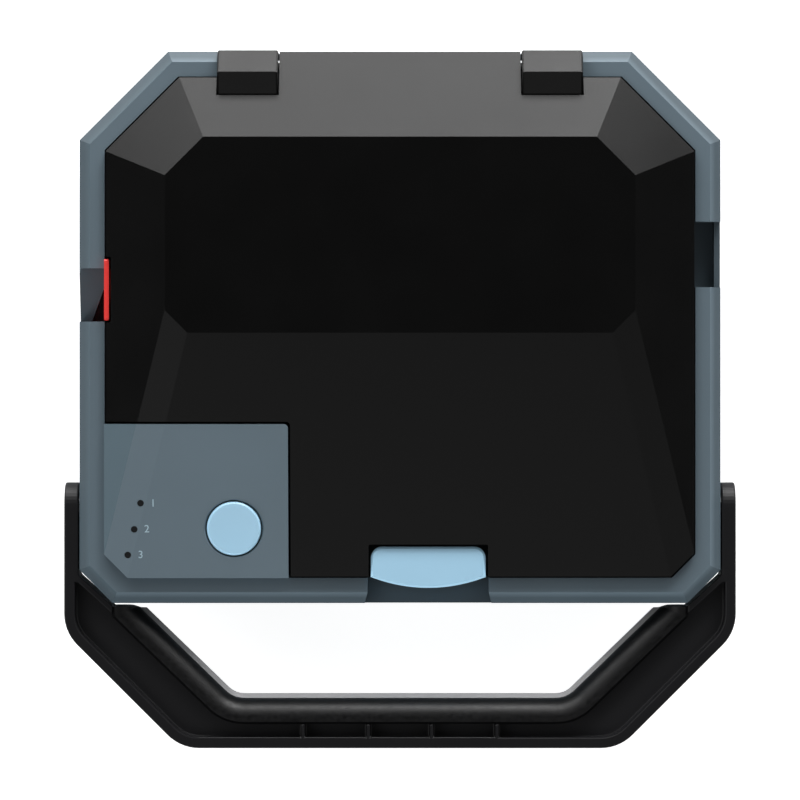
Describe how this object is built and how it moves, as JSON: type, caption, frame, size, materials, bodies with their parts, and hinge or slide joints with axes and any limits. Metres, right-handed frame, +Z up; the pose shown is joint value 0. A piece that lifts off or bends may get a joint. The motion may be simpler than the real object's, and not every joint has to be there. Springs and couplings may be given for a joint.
{
  "type": "cable label printer",
  "caption": "Compact thermal-transfer cable label printer with a faceted hinged lid, corner control panel, side feed notches and a folding carry handle.",
  "frame": {"origin": "on the table, under the middle of the outline of body and folded handle", "axes": "+X to the user's right, +Y to the rear (lid hinge), +Z up"},
  "size_m": [0.1804, 0.187, 0.07],
  "materials": {
    "slate_plastic": "satin",
    "lid_plastic": "satin",
    "deck_plastic": "matte",
    "handle_plastic": "satin",
    "grip_rubber": "matte",
    "blue_plastic": "satin",
    "red_plastic": "satin",
    "foot_rubber": "matte",
    "roller_rubber": "matte",
    "guide_plastic": "satin",
    "steel": "brushed",
    "bronze": "satin",
    "gear_plastic": "satin",
    "motor_metal": "satin",
    "head_ceramic": "gloss",
    "sink_aluminium": "satin",
    "cartridge_plastic": "satin",
    "ribbon_film": "gloss",
    "label_paper": "matte",
    "core_board": "matte",
    "circuit_board": "satin",
    "battery_wrap": "satin",
    "switch_plastic": "matte",
    "lens_plastic": "gloss"
  },
  "bodies": {
    "housing": {"base_shell": "slate_plastic", "upper_shell": "slate_plastic", "hinge_knuckle_left": "lid_plastic", "hinge_knuckle_right": "lid_plastic", "inner_deck": "deck_plastic", "cutter_holder": "deck_plastic", "roll_post": "deck_plastic", "board_spacers": "deck_plastic", "exit_guard": "red_plastic", "rubber_feet": "foot_rubber", "ribbon_belt": "roller_rubber", "hinge_pin_left": "steel", "hinge_pin_right": "steel", "mech_frame": "steel", "roller_studs": "steel", "idler_stud": "steel", "base_screws": "steel", "supply_post": "steel", "usb_port": "steel", "shaft_bushes": "bronze", "feed_motor": "motor_metal", "print_head": "head_ceramic", "head_sink": "sink_aluminium", "cartridge_case": "cartridge_plastic", "main_board": "circuit_board", "control_board": "circuit_board", "battery_pack": "battery_wrap", "power_switch": "switch_plastic", "led_lenses": "lens_plastic"},
    "lid": {"lid_shell": "lid_plastic", "lid_catch": "lid_plastic"},
    "handle": {"handle_frame": "handle_plastic", "handle_grip": "grip_rubber", "pivot_pin_left": "steel", "pivot_pin_right": "steel"},
    "platen": {"platen_shaft": "steel", "platen_roller": "roller_rubber", "platen_gear": "gear_plastic", "platen_pulley": "gear_plastic"},
    "feed": {"feed_shaft": "steel", "feed_roller": "roller_rubber", "feed_gear": "gear_plastic"},
    "pinch": {"pinch_roller": "roller_rubber"},
    "guide": {"guide_roller": "guide_plastic"},
    "idler": {"idler_gear": "gear_plastic"},
    "rotor": {"motor_shaft": "steel", "motor_pinion": "gear_plastic"},
    "takeup": {"takeup_spool": "ribbon_film", "takeup_spindle": "steel", "takeup_pulley": "gear_plastic"},
    "supply": {"supply_spool": "ribbon_film"},
    "roll": {"roll_core": "core_board", "label_roll": "label_paper"},
    "blade": {"cutter_blade": "steel"},
    "power": {"power_button": "blue_plastic"},
    "latch": {"latch_button": "blue_plastic"},
    "hook": {"latch_hook": "steel"}
  },
  "joints": [
    {"name": "lid_hinge", "type": "hinge", "parent": "housing", "child": "lid", "pos_m": [0, 0.09, 0.0528], "axis": [-1, 0, 0], "range_deg": [0, 100]},
    {"name": "handle_fold", "type": "hinge", "parent": "housing", "child": "handle", "pos_m": [0, -0.0287, 0.046], "axis": [-1, 0, 0], "range_deg": [0, 110]},
    {"name": "power_press", "type": "slide", "parent": "housing", "child": "power", "axis": [0, 0, -1], "range_m": [0, 0.001], "stiffness_N_per_m": 1500},
    {"name": "latch_press", "type": "slide", "parent": "housing", "child": "latch", "axis": [0, 0, -1], "range_m": [0, 0.0016], "stiffness_N_per_m": 2000},
    {"name": "hook_slide", "type": "slide", "parent": "housing", "child": "hook", "axis": [0, -1, 0], "range_m": [0, 0.0016]},
    {"name": "cutter_slide", "type": "slide", "parent": "housing", "child": "blade", "axis": [0, -1, 0], "range_m": [0, 0.006]},
    {"name": "platen_spin", "type": "hinge", "parent": "housing", "child": "platen", "pos_m": [-0.034, 0.0257, 0.045], "axis": [0, 0, 1], "continuous": true},
    {"name": "feed_spin", "type": "hinge", "parent": "housing", "child": "feed", "pos_m": [-0.052, 0.0257, 0.045], "axis": [0, 0, 1], "continuous": true},
    {"name": "pinch_spin", "type": "hinge", "parent": "housing", "child": "pinch", "pos_m": [-0.052, 0.0363, 0.045], "axis": [0, 0, 1], "continuous": true},
    {"name": "guide_spin", "type": "hinge", "parent": "housing", "child": "guide", "pos_m": [0.062, 0.0257, 0.045], "axis": [0, 0, 1], "continuous": true},
    {"name": "idler_spin", "type": "hinge", "parent": "housing", "child": "idler", "pos_m": [-0.043, 0.01498, 0.045], "axis": [0, 0, 1], "continuous": true},
    {"name": "rotor_spin", "type": "hinge", "parent": "housing", "child": "rotor", "pos_m": [-0.03172, 0.01087, 0.045], "axis": [0, 0, 1], "continuous": true},
    {"name": "takeup_spin", "type": "hinge", "parent": "housing", "child": "takeup", "pos_m": [-0.002, 0.056, 0.045], "axis": [0, 0, 1], "continuous": true},
    {"name": "supply_spin", "type": "hinge", "parent": "housing", "child": "supply", "pos_m": [0.027, 0.056, 0.045], "axis": [0, 0, 1], "continuous": true},
    {"name": "roll_spin", "type": "hinge", "parent": "housing", "child": "roll", "pos_m": [0.038, -0.009, 0.045], "axis": [0, 0, 1], "continuous": true}
  ],
  "couplings": [
    {"joint": "feed_spin", "follows": "platen_spin", "ratio": 1},
    {"joint": "pinch_spin", "follows": "platen_spin", "ratio": -1},
    {"joint": "guide_spin", "follows": "platen_spin", "ratio": 1},
    {"joint": "idler_spin", "follows": "platen_spin", "ratio": -1},
    {"joint": "rotor_spin", "follows": "platen_spin", "ratio": 1.4},
    {"joint": "takeup_spin", "follows": "platen_spin", "ratio": 1},
    {"joint": "supply_spin", "follows": "platen_spin", "ratio": 0.6429},
    {"joint": "roll_spin", "follows": "platen_spin", "ratio": -0.2},
    {"joint": "hook_slide", "follows": "latch_press", "ratio": 1}
  ]
}
